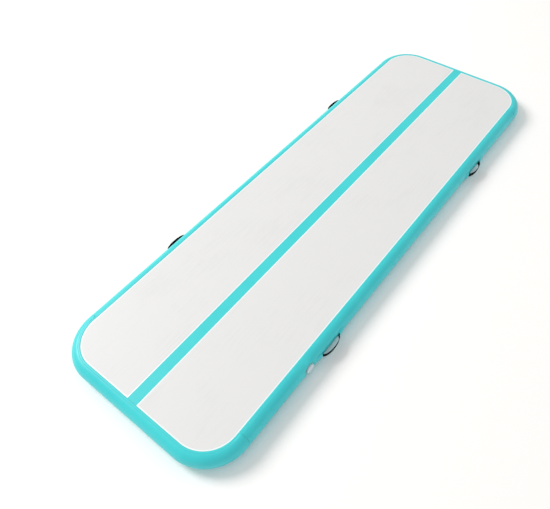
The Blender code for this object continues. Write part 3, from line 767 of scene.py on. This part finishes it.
centres = strap_points()
travelled = [0.0]
for before, after in zip(centres, centres[1:]):
    travelled.append(travelled[-1] + math.dist(before, after))
for place, middle, matrix in handles:
    bm = bmesh.new()
    bmesh.ops.create_grid(bm, x_segments=len(centres) - 1, y_segments=10, size=0.5)
    layer = bm.verts.layers.float_vector.new("strap_place")
    for vert in bm.verts:
        index = round((vert.co.x + 0.5) * (len(centres) - 1))
        out, along = centres[index]
        width = vert.co.y * 2 * WEBBING_HALF
        vert[layer] = (travelled[index], width, 0)
        lying = 1 - eased(out, 0, LOOP_START)
        sag = lying * (AXIS_RADIUS - math.sqrt(AXIS_RADIUS ** 2 - width ** 2))
        vert.co = (out - sag, along, width)
    bmesh.ops.recalc_face_normals(bm, faces=bm.faces)
    bm.transform(matrix)
    parts = [place + "_handle", place + "_handle_near_end", place + "_handle_far_end"]
    strap = finished_piece(place + "_handle_strap", bm, None, parts)
    strap.data.materials.append(black_webbing)
    thickness = strap.modifiers.new("thickness", "SOLIDIFY")
    thickness.thickness = WEBBING
    thickness.offset = 0
    rounded_edge = strap.modifiers.new("rounded_edge", "BEVEL")
    rounded_edge.width = 0.0007
    rounded_edge.segments = 3
    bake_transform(strap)

# Air valve --------------------------------------------------------------------------------------
# A moulded push-and-turn valve sits in a round welded patch that holds the wall flat under it. Its
# white body is clamped by a nut inside, and a tethered screw cap with a ribbed edge closes it.


def moulded(name, low, high, roughness, mottle, grain, strength):
    """Moulded plastic or rubber: a slightly mottled colour and a fine grain from the mould."""
    finish, tree, shader = new_finish(name, low, roughness)
    mottled = ramp(tree, noise_pattern(tree, mottle, 3.0), low, high)
    tree.links.new(mottled, shader.inputs["Base Color"])
    add_bump(tree, shader, noise_pattern(tree, grain, 2.0), strength, 0.00005)
    return finish


white_plastic = moulded(
    "white_valve_plastic", (0.71, 0.79, 0.84), (0.77, 0.85, 0.88), 0.36, 90.0, 1500.0, 0.3
)
grey_plastic = moulded(
    "grey_valve_plastic", (0.27, 0.28, 0.30), (0.33, 0.34, 0.36), 0.45, 120.0, 1500.0, 0.3
)
black_rubber = moulded(
    "black_seal_rubber", (0.014, 0.014, 0.014), (0.028, 0.028, 0.028), 0.75, 200.0, 2000.0, 0.4
)
spring_steel, tree, shader = new_finish("drawn_spring_steel", (0.55, 0.56, 0.58), 0.3)
shader.inputs["Metallic"].default_value = 1.0
tree.links.new(
    ramp(tree, noise_pattern(tree, 400.0, 3.0), (0.24,) * 3, (0.38,) * 3),
    shader.inputs["Roughness"],
)
add_bump(tree, shader, noise_pattern(tree, 3000.0, 2.0), 0.2, 0.00003)

refinish("valve_body", white_plastic)
for node in ("valve_nut", "seal_plate", "push_button"):
    refinish(node, grey_plastic)
for node in ("valve_gasket", "seal_disc", "cap_seal"):
    refinish(node, black_rubber)
refinish("valve_spring", spring_steel)
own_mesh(bpy.data.objects["valve_spring"])

valve_place = Matrix.Translation(valve_axis) @ Matrix.Rotation(math.pi / 2, 4, "Y")


def spun(profile, steps, closed=True):
    """A profile of (radius, height) points turned right round the valve's axis."""
    bm = bmesh.new()
    verts = [bm.verts.new((radius, 0, height)) for radius, height in profile]
    pairs = list(zip(verts, verts[1:])) + ([(verts[-1], verts[0])] if closed else [])
    edges = [bm.edges.new(pair) for pair in pairs]
    bmesh.ops.spin(
        bm, geom=verts + edges, cent=(0, 0, 0), axis=(0, 0, 1), angle=2 * math.pi, steps=steps,
        use_merge=True,
    )
    bmesh.ops.remove_doubles(bm, verts=bm.verts, dist=0.000005)
    bmesh.ops.recalc_face_normals(bm, faces=bm.faces)
    return bm


def valve_piece(name, bm, body, replaced, finish, bevel, limit=40):
    """A piece of the valve with a small bevel on every edge that is sharper than the limit."""
    bm.transform(valve_place)
    piece = finished_piece(name, bm, body, replaced)
    piece.data.materials.append(finish)
    rounded_edge = piece.modifiers.new("rounded_edge", "BEVEL")
    rounded_edge.width = bevel
    rounded_edge.segments = 3
    rounded_edge.limit_method = "ANGLE"
    rounded_edge.angle_limit = math.radians(limit)
    rounded_edge.harden_normals = True


PATCH_TOP = 0.0003
PATCH_UNDERSIDE = -0.0004
TURN_STEPS = 96
radii = [0.016, 0.020, 0.024, SEAT_RADIUS]
radii += [SEAT_RADIUS + (PATCH_RADIUS - SEAT_RADIUS) * i / 8 for i in range(1, 9)]
section = [(radius, PATCH_TOP) for radius in radii]
section += [(radius, PATCH_UNDERSIDE) for radius in reversed(radii)]
bm = spun(section, TURN_STEPS)
for vert in bm.verts:
    radius = math.hypot(vert.co.x, vert.co.y)
    at_rim = eased(radius, SEAT_RADIUS, PATCH_RADIUS)
    vert.co.z += seat_height(radius, vert.co.x) + 0.0003 * at_rim
valve_piece(
    "outer_valve_patch_sheet", bm, "mat", ["outer_valve_patch"], welded_vinyl,
    0.0002,
)

# The cap has a dished face with a grip bar across it, ribs round its edge, and a groove in which
# the tether's strap holds it. Heights are counted outwards from the patch's flat place.
CAP_RADIUS = 0.0225
CAP_INNER_RADIUS = 0.0193
CAP_BOTTOM = 0.0045
CAP_ROOF = 0.0083
CAP_TOP = 0.0097
DISH = CAP_TOP - 0.0010
GROOVE_RADIUS = 0.0213
GROOVE_BOTTOM = 0.0055
GROOVE_TOP = 0.0072
RIBS = 48
RIB_DEPTH = 0.0004
cap_profile = [
    (0, DISH), (0.0150, DISH), (0.0162, CAP_TOP), (0.0214, CAP_TOP),
    (0.0222, CAP_TOP - 0.0003), (CAP_RADIUS, CAP_TOP - 0.0008), (CAP_RADIUS, GROOVE_TOP),
    (GROOVE_RADIUS, GROOVE_TOP), (GROOVE_RADIUS, GROOVE_BOTTOM), (CAP_RADIUS, GROOVE_BOTTOM),
    (CAP_RADIUS, CAP_BOTTOM), (CAP_INNER_RADIUS, CAP_BOTTOM), (CAP_INNER_RADIUS, CAP_ROOF),
    (0, CAP_ROOF),
]
bm = spun(cap_profile, RIBS * 4, closed=False)
for vert in bm.verts:
    radius = math.hypot(vert.co.x, vert.co.y)
    if radius > 0.0220:
        rib = 0.5 + 0.5 * math.cos(RIBS * math.atan2(vert.co.y, vert.co.x))
        vert.co.xy *= (radius - RIB_DEPTH * rib) / radius
grip_bar = bmesh.ops.create_cube(bm, size=1)["verts"]
bmesh.ops.scale(bm, verts=grip_bar, vec=(0.0036, 0.0306, 0.0016))
bmesh.ops.translate(bm, verts=grip_bar, vec=(0, 0, CAP_TOP - 0.0003))
valve_piece(
    "valve_cap_moulding", bm, "cap", ["valve_cap"], white_plastic, 0.00015, 50
)


TETHER_WIDTH = 0.0080


def add_tab(bm, start, end, bottom, top):
    """A flat tab from one radius to another, on the side that points to the tether's hinge."""
    tab = bmesh.ops.create_cube(bm, size=1)["verts"]
    bmesh.ops.scale(bm, verts=tab, vec=(TETHER_WIDTH, end - start, top - bottom))
    bmesh.ops.translate(bm, verts=tab, vec=(0, -(start + end) / 2, (top + bottom) / 2))


def ring_and_tab(inner, outer, bottom, top, tab_start, tab_end):
    """A flat ring round the valve's axis, with the tab that joins it to its hinge."""
    section = [(outer, top), (outer, bottom), (inner, bottom), (inner, top)]
    bm = spun(section, TURN_STEPS)
    add_tab(bm, tab_start, tab_end, bottom, top)
    return bm


RING_BOTTOM = 0.0033
RING_TOP = 0.0042
STRAP_BOTTOM = 0.00575
STRAP_TOP = 0.00695
bm = ring_and_tab(0.0188, 0.0230, RING_BOTTOM, RING_TOP, 0.0225, 0.0275)
valve_piece(
    "tether_ring_moulding", bm, "neck_ring", ["tether_ring"], white_plastic, 0.0002
)
bm = ring_and_tab(0.0216, 0.0242, STRAP_BOTTOM, STRAP_TOP, 0.0238, 0.0274)
add_tab(bm, 0.0262, 0.0274, CAP_BOTTOM, STRAP_TOP)
valve_piece(
    "tether_strap_moulding", bm, "cap_strap", ["tether_strap"], white_plastic,
    0.0002,
)
